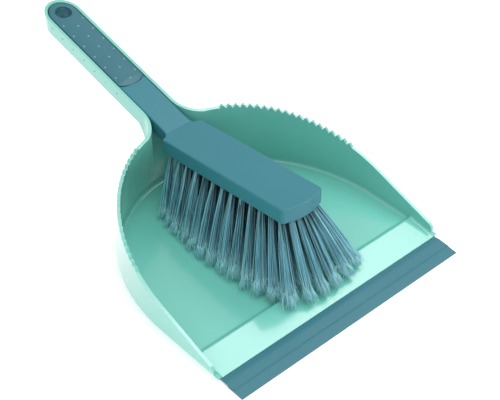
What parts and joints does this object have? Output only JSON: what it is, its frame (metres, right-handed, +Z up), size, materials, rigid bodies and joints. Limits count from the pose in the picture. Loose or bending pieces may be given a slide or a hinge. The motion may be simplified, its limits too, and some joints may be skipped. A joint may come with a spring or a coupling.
{
  "type": "dust pan and brush set",
  "caption": "Hand dust pan with a comb-toothed rim, a sloping ramp and a soft lip, with its hand brush parked in the channel handle.",
  "frame": {"origin": "middle of the overall footprint, on the surface the pan stands on", "axes": "+Y from the lip towards the end of the handle, +Z up from the surface it stands on, +X across the pan"},
  "size_m": [0.236, 0.382, 0.1084],
  "materials": {
    "pan_plastic": "smooth moulded, light mint green, soft gloss",
    "lip_rubber": "soft matt strip, dark teal",
    "brush_plastic": "moulded, dark teal, satin",
    "grip_rubber": "soft matt pad with small bumps, dark teal",
    "bristle_fibre": "drawn synthetic fibre, dark teal with paler frayed tips"
  },
  "bodies": {
    "pan": {"pan_body": "pan_plastic", "lip": "lip_rubber"},
    "brush": {"brush_body": "brush_plastic", "grip_pad": "grip_rubber", "tuft_left_01": "bristle_fibre", "tuft_left_02": "bristle_fibre", "tuft_left_03": "bristle_fibre", "tuft_left_04": "bristle_fibre", "tuft_left_05": "bristle_fibre", "tuft_left_06": "bristle_fibre", "tuft_left_07": "bristle_fibre", "tuft_left_08": "bristle_fibre", "tuft_left_09": "bristle_fibre", "tuft_left_10": "bristle_fibre", "tuft_left_11": "bristle_fibre", "tuft_left_12": "bristle_fibre", "tuft_left_13": "bristle_fibre", "tuft_right_01": "bristle_fibre", "tuft_right_02": "bristle_fibre", "tuft_right_03": "bristle_fibre", "tuft_right_04": "bristle_fibre", "tuft_right_05": "bristle_fibre", "tuft_right_06": "bristle_fibre", "tuft_right_07": "bristle_fibre", "tuft_right_08": "bristle_fibre", "tuft_right_09": "bristle_fibre", "tuft_right_10": "bristle_fibre", "tuft_right_11": "bristle_fibre", "tuft_right_12": "bristle_fibre", "tuft_right_13": "bristle_fibre", "tuft_inner_left_01": "bristle_fibre", "tuft_inner_left_02": "bristle_fibre", "tuft_inner_left_03": "bristle_fibre", "tuft_inner_left_04": "bristle_fibre", "tuft_inner_left_05": "bristle_fibre", "tuft_inner_left_06": "bristle_fibre", "tuft_inner_left_07": "bristle_fibre", "tuft_inner_left_08": "bristle_fibre", "tuft_inner_left_09": "bristle_fibre", "tuft_inner_left_10": "bristle_fibre", "tuft_inner_left_11": "bristle_fibre", "tuft_inner_left_12": "bristle_fibre", "tuft_inner_right_01": "bristle_fibre", "tuft_inner_right_02": "bristle_fibre", "tuft_inner_right_03": "bristle_fibre", "tuft_inner_right_04": "bristle_fibre", "tuft_inner_right_05": "bristle_fibre", "tuft_inner_right_06": "bristle_fibre", "tuft_inner_right_07": "bristle_fibre", "tuft_inner_right_08": "bristle_fibre", "tuft_inner_right_09": "bristle_fibre", "tuft_inner_right_10": "bristle_fibre", "tuft_inner_right_11": "bristle_fibre", "tuft_inner_right_12": "bristle_fibre", "tuft_nose_01": "bristle_fibre", "tuft_nose_02": "bristle_fibre", "tuft_nose_03": "bristle_fibre", "tuft_nose_04": "bristle_fibre"}
  },
  "joints": [
    {"name": "brush_lift", "type": "slide", "parent": "pan", "child": "brush", "axis": [0, 0, 1], "range_m": [0, 0.13]}
  ]
}
